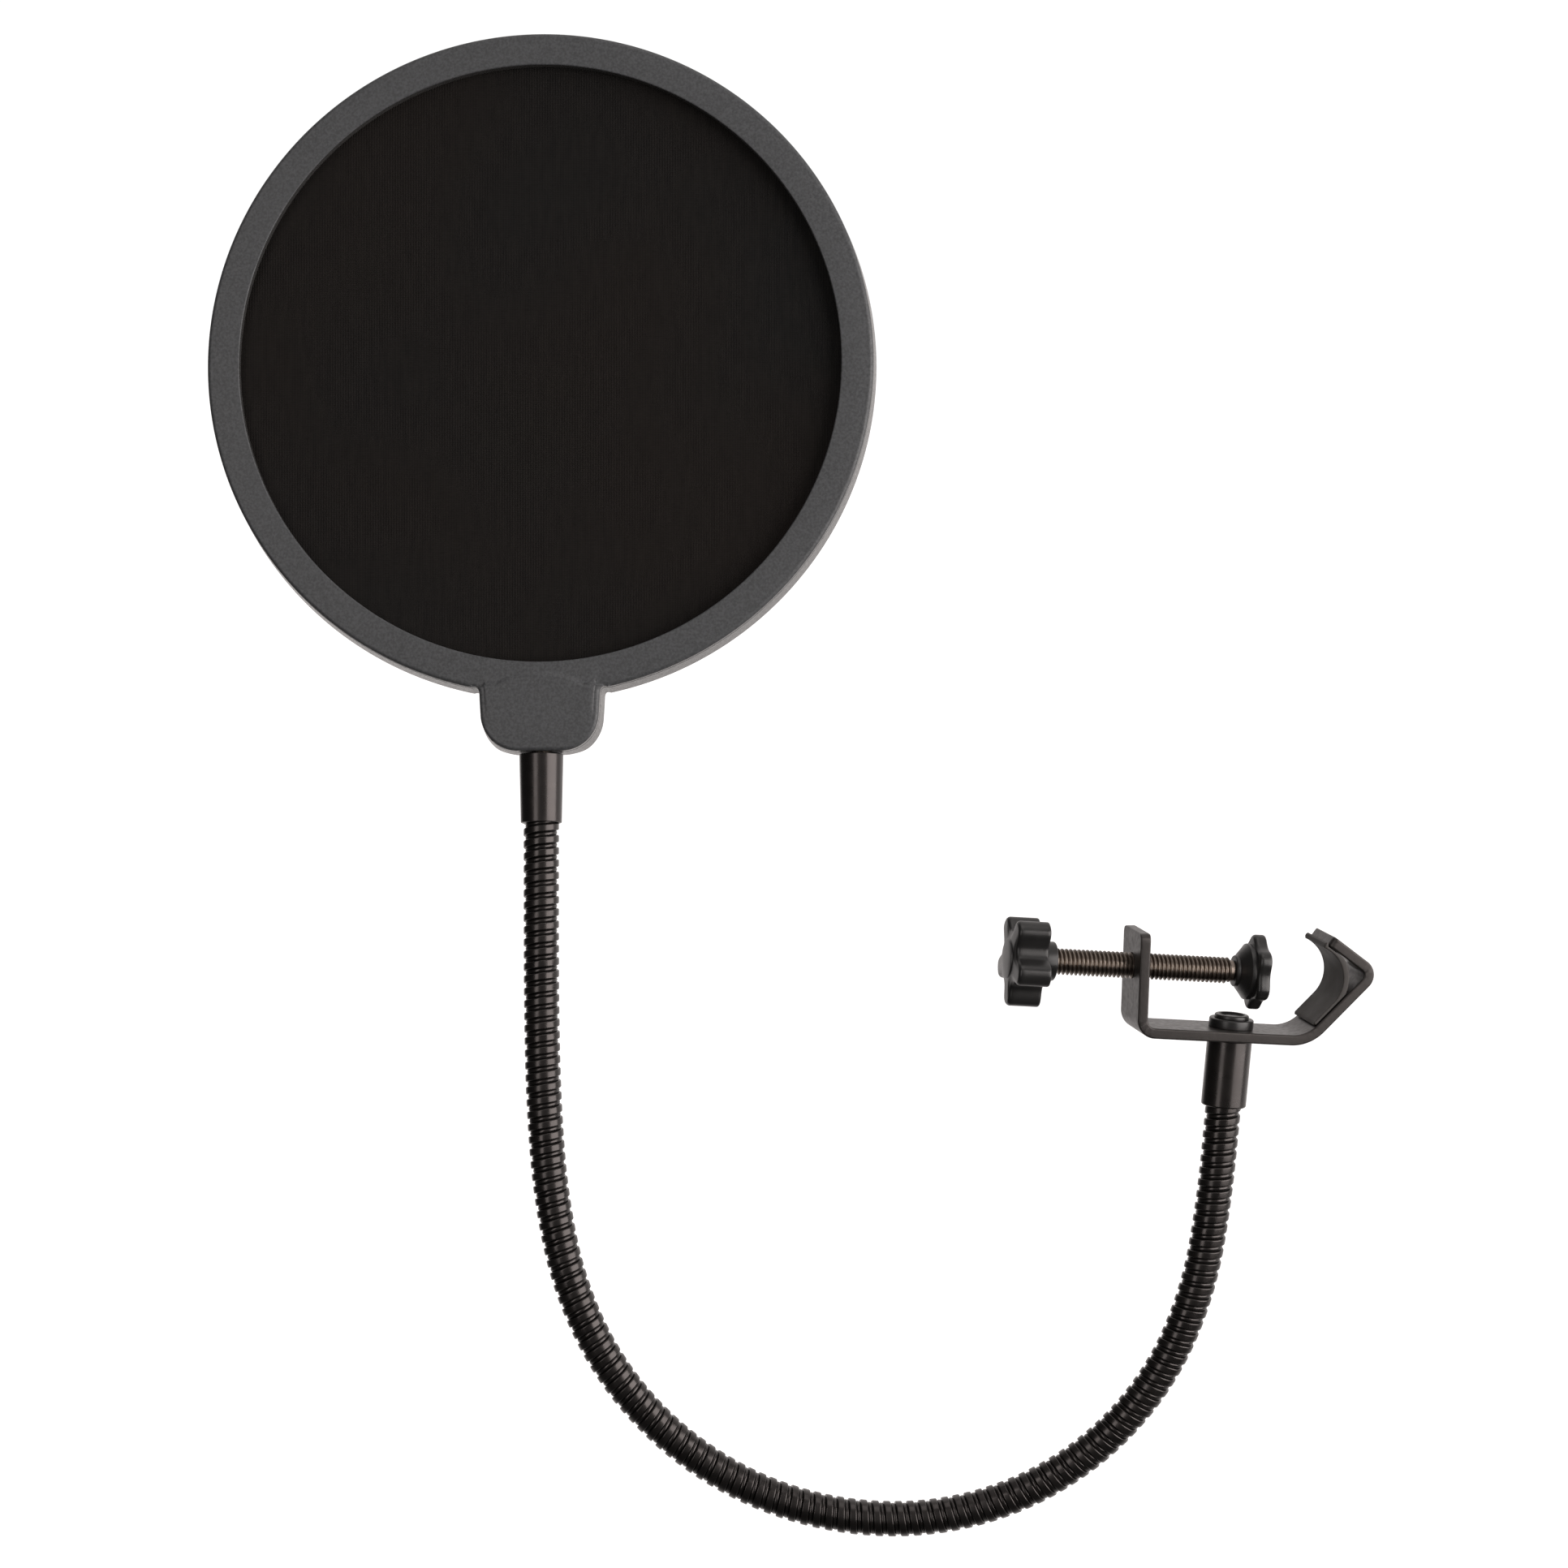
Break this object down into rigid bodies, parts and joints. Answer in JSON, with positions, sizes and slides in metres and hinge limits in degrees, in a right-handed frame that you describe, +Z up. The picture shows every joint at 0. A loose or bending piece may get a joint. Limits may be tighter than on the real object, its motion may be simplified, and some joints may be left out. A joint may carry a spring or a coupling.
{
  "type": "pop filter",
  "caption": "Round mesh pop filter in a two-part ring frame, held by a bendable gooseneck with a screw clamp for a microphone stand tube.",
  "frame": {"origin": "centre of the microphone stand tube gripped in the clamp jaw, on the clamp screw axis", "axes": "+X along the clamp screw from the knob to the hook, +Y along the gripped tube, away from the speaker's side of the filter, +Z up, from the gooseneck side of the bracket to the screw side"},
  "size_m": [0.2664, 0.1103, 0.3394],
  "materials": {
    "ring_plastic": "fine-grained satin black moulding",
    "nylon_mesh": "stretched black nylon knit",
    "gooseneck_black": "gloss black coated wire",
    "ferrule_black": "gloss black turned steel",
    "black_steel": "satin black powder coat",
    "black_fastener": "black oxide",
    "screw_steel": "dark oiled steel thread",
    "moulded_plastic": "semi-gloss black moulding",
    "liner_rubber": "matt dark rubber"
  },
  "bodies": {
    "clamp": {"bracket": "black_steel", "hook_liner": "liner_rubber"},
    "pad": {"pressure_pad": "moulded_plastic"},
    "screw": {"clamp_screw": "screw_steel", "clamp_knob": "moulded_plastic"},
    "neck_base": {"lower_ferrule": "ferrule_black", "clamp_washer": "moulded_plastic", "clamp_bolt": "black_fastener", "gooseneck_segment_01": "gooseneck_black"},
    "neck_02": {"gooseneck_segment_02": "gooseneck_black"},
    "neck_03": {"gooseneck_segment_03": "gooseneck_black"},
    "neck_04": {"gooseneck_segment_04": "gooseneck_black"},
    "neck_05": {"gooseneck_segment_05": "gooseneck_black"},
    "neck_06": {"gooseneck_segment_06": "gooseneck_black"},
    "neck_07": {"gooseneck_segment_07": "gooseneck_black"},
    "neck_08": {"gooseneck_segment_08": "gooseneck_black"},
    "neck_09": {"gooseneck_segment_09": "gooseneck_black"},
    "neck_10": {"gooseneck_segment_10": "gooseneck_black"},
    "neck_11": {"gooseneck_segment_11": "gooseneck_black"},
    "neck_12": {"gooseneck_segment_12": "gooseneck_black"},
    "neck_13": {"gooseneck_segment_13": "gooseneck_black"},
    "neck_14": {"gooseneck_segment_14": "gooseneck_black"},
    "neck_15": {"gooseneck_segment_15": "gooseneck_black"},
    "neck_end": {"gooseneck_segment_16": "gooseneck_black", "upper_ferrule": "ferrule_black", "swivel_stud": "screw_steel"},
    "head": {"front_ring_shell": "ring_plastic", "rear_ring_shell": "ring_plastic", "front_mesh": "nylon_mesh", "rear_mesh": "nylon_mesh", "mesh_spacer": "moulded_plastic", "tab_screw_1": "black_fastener", "tab_screw_2": "black_fastener"}
  },
  "joints": [
    {"name": "pad_feed", "type": "slide", "parent": "clamp", "child": "pad", "axis": [1, 0, 0], "range_m": [-0.021, 0.01]},
    {"name": "screw_turn", "type": "hinge", "parent": "pad", "child": "screw", "pos_m": [-0.03, 0, 0], "axis": [1, 0, 0], "range_deg": [-7565, 3605]},
    {"name": "clamp_swivel", "type": "hinge", "parent": "clamp", "child": "neck_base", "pos_m": [-0.0154, 0, -0.0165], "axis": [0, 0, 1], "range_deg": [-170, 170]},
    {"name": "sway_lower", "type": "hinge", "parent": "neck_base", "child": "neck_02", "pos_m": [-0.0154, 0, -0.05287], "axis": [-0.9754, 0.2073, 0.0747], "range_deg": [-25, 25]},
    {"name": "bend_lower", "type": "hinge", "parent": "neck_02", "child": "neck_03", "pos_m": [-0.01698, 0.00034, -0.07444], "axis": [0.2079, 0.9781, 0], "range_deg": [-17, 8]},
    {"name": "bend_lower_2", "type": "hinge", "parent": "neck_03", "child": "neck_04", "pos_m": [-0.02328, 0.00168, -0.09508], "axis": [0.2079, 0.9781, 0], "range_deg": [-17, 8]},
    {"name": "bend_lower_3", "type": "hinge", "parent": "neck_04", "child": "neck_05", "pos_m": [-0.03531, 0.00423, -0.11287], "axis": [0.2079, 0.9781, 0], "range_deg": [-17, 8]},
    {"name": "bend_lower_4", "type": "hinge", "parent": "neck_05", "child": "neck_06", "pos_m": [-0.05196, 0.00777, -0.1262], "axis": [0.2079, 0.9781, 0], "range_deg": [-17, 8]},
    {"name": "bend_middle", "type": "hinge", "parent": "neck_06", "child": "neck_07", "pos_m": [-0.07175, 0.01198, -0.13386], "axis": [-0.2079, -0.9781, 0], "range_deg": [-8.5, 15.8]},
    {"name": "bend_middle_2", "type": "hinge", "parent": "neck_07", "child": "neck_08", "pos_m": [-0.09285, 0.01646, -0.13526], "axis": [-0.2079, -0.9781, 0], "range_deg": [-8.5, 15.8]},
    {"name": "bend_middle_3", "type": "hinge", "parent": "neck_08", "child": "neck_09", "pos_m": [-0.11353, 0.02086, -0.13072], "axis": [-0.2079, -0.9781, 0], "range_deg": [-8.5, 15.8]},
    {"name": "bend_middle_4", "type": "hinge", "parent": "neck_09", "child": "neck_10", "pos_m": [-0.13222, 0.02483, -0.12058], "axis": [-0.2079, -0.9781, 0], "range_deg": [-8.5, 15.8]},
    {"name": "bend_middle_5", "type": "hinge", "parent": "neck_10", "child": "neck_11", "pos_m": [-0.14748, 0.02807, -0.10561], "axis": [-0.2079, -0.9781, 0], "range_deg": [-8.5, 15.8]},
    {"name": "bend_upper", "type": "hinge", "parent": "neck_11", "child": "neck_12", "pos_m": [-0.15801, 0.03106, -0.08695], "axis": [0.2245, 0.974, -0.0291], "range_deg": [-18, 12]},
    {"name": "bend_upper_2", "type": "hinge", "parent": "neck_12", "child": "neck_13", "pos_m": [-0.16373, 0.03374, -0.06627], "axis": [0.2335, 0.9704, -0.0614], "range_deg": [-18, 12]},
    {"name": "bend_upper_3", "type": "hinge", "parent": "neck_13", "child": "neck_14", "pos_m": [-0.16664, 0.03654, -0.04503], "axis": [0.2382, 0.9666, -0.0946], "range_deg": [-18, 12]},
    {"name": "bend_upper_4", "type": "hinge", "parent": "neck_14", "child": "neck_15", "pos_m": [-0.16833, 0.0398, -0.02372], "axis": [0.241, 0.9621, -0.1279], "range_deg": [-18, 12]},
    {"name": "sway_upper", "type": "hinge", "parent": "neck_15", "child": "neck_end", "pos_m": [-0.16947, 0.04367, -0.00247], "axis": [0.9686, -0.2301, 0.0939], "range_deg": [-25, 25]},
    {"name": "ring_swivel", "type": "hinge", "parent": "neck_end", "child": "head", "pos_m": [-0.17115, 0.05167, 0.03456], "axis": [-0.0445, 0.2111, 0.9765], "range_deg": [-90, 90]}
  ],
  "couplings": [
    {"joint": "screw_turn", "follows": "pad_feed", "rad_per_m": 6283.2},
    {"joint": "bend_lower_2", "follows": "bend_lower", "ratio": 1},
    {"joint": "bend_lower_3", "follows": "bend_lower", "ratio": 1},
    {"joint": "bend_lower_4", "follows": "bend_lower", "ratio": 1},
    {"joint": "bend_middle_2", "follows": "bend_middle", "ratio": 1},
    {"joint": "bend_middle_3", "follows": "bend_middle", "ratio": 1},
    {"joint": "bend_middle_4", "follows": "bend_middle", "ratio": 1},
    {"joint": "bend_middle_5", "follows": "bend_middle", "ratio": 1},
    {"joint": "bend_upper_2", "follows": "bend_upper", "ratio": 1},
    {"joint": "bend_upper_3", "follows": "bend_upper", "ratio": 1},
    {"joint": "bend_upper_4", "follows": "bend_upper", "ratio": 1}
  ]
}
